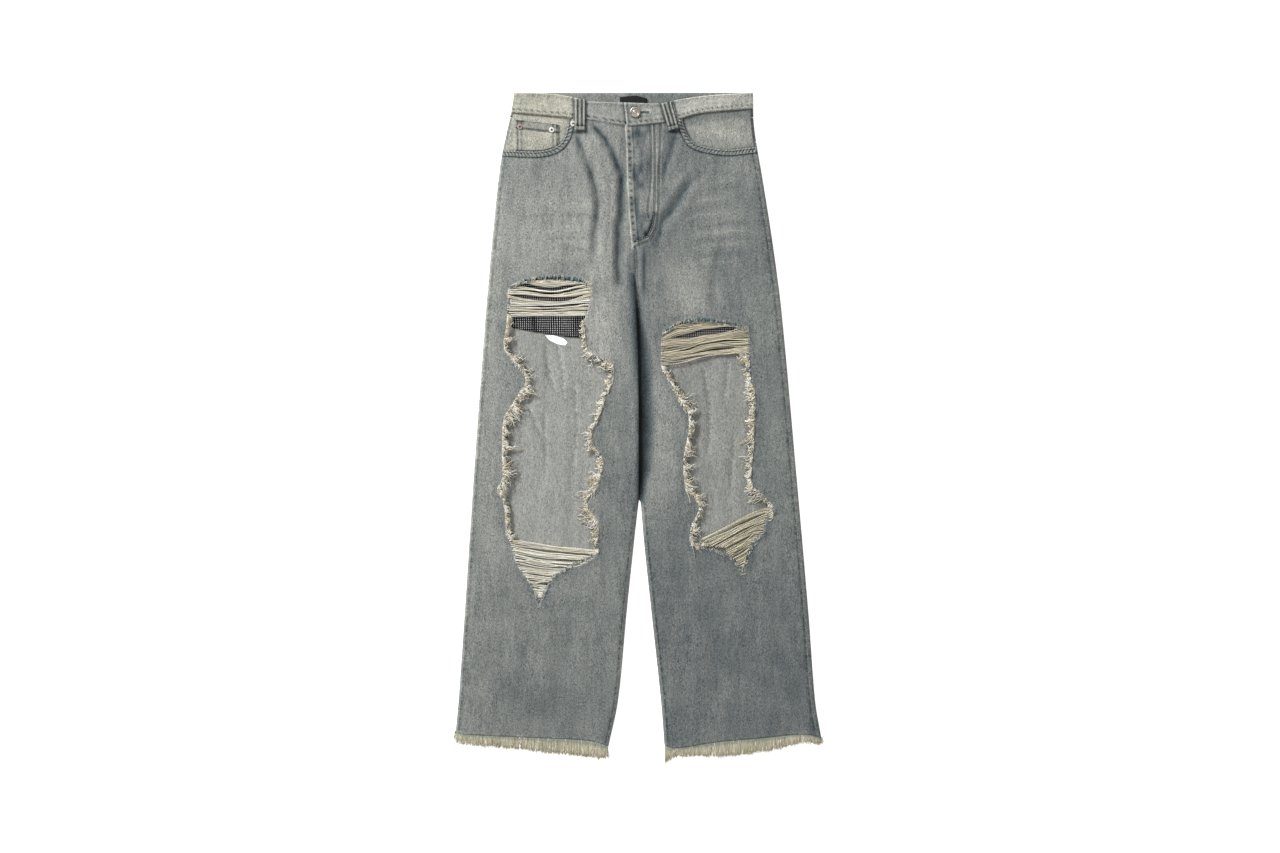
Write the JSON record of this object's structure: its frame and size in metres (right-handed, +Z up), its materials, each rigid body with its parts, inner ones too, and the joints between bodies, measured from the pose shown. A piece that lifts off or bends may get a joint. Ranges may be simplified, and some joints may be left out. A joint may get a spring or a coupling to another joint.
{
  "type": "ripped jeans",
  "caption": "Straight-leg washed denim jeans laid flat, torn open at both thighs and knees, with frayed threads, pocket bags showing and raw fringed hems.",
  "frame": {"origin": "middle of the underside, on the surface that the jeans lie on", "axes": "+X towards the wearer's left side, +Y from the hems to the waist, +Z up out of the front"},
  "size_m": [0.5878, 1.072, 0.0149],
  "materials": {
    "washed_denim": "faded grey-blue twill, stone washed",
    "tinted_denim": "faded grey twill with a yellow-green dirt tint",
    "reverse_denim": "grey reverse side of the twill",
    "thread": "loose ecru cotton yarn",
    "pocketing": "black cotton with fine dashed pinstripes",
    "label_cloth": "bare black woven tape",
    "worn_metal": "worn dull cast metal"
  },
  "bodies": {
    "root": {"front_right_leg": "washed_denim", "front_left_leg": "washed_denim", "back_right_leg": "reverse_denim", "back_left_leg": "reverse_denim", "back_right_yoke": "washed_denim", "back_left_yoke": "washed_denim", "back_right_pocket": "washed_denim", "back_left_pocket": "washed_denim", "waistband_back": "washed_denim", "waistband_front_right": "tinted_denim", "waistband_front_left": "tinted_denim", "pocket_bag_right": "pocketing", "pocket_bag_left": "pocketing", "pocket_facing_right": "tinted_denim", "pocket_facing_left": "tinted_denim", "coin_pocket": "tinted_denim", "belt_loop_front_right": "tinted_denim", "belt_loop_front_left": "tinted_denim", "belt_loop_back_right": "washed_denim", "belt_loop_back_centre": "washed_denim", "belt_loop_back_left": "washed_denim", "waist_button": "worn_metal", "pocket_rivet_1": "worn_metal", "pocket_rivet_2": "worn_metal", "pocket_rivet_3": "worn_metal", "inside_label": "label_cloth", "tear_threads_top_right": "thread", "tear_threads_foot_right": "thread", "tear_threads_top_left": "thread", "tear_threads_foot_left": "thread", "tear_fringe_outer_right": "thread", "tear_fringe_inner_right": "thread", "tear_fringe_inner_left": "thread", "tear_fringe_outer_left": "thread", "hem_fringe_front_right": "thread", "hem_fringe_front_left": "thread", "hem_fringe_back_right": "thread", "hem_fringe_back_left": "thread"}
  },
  "joints": []
}
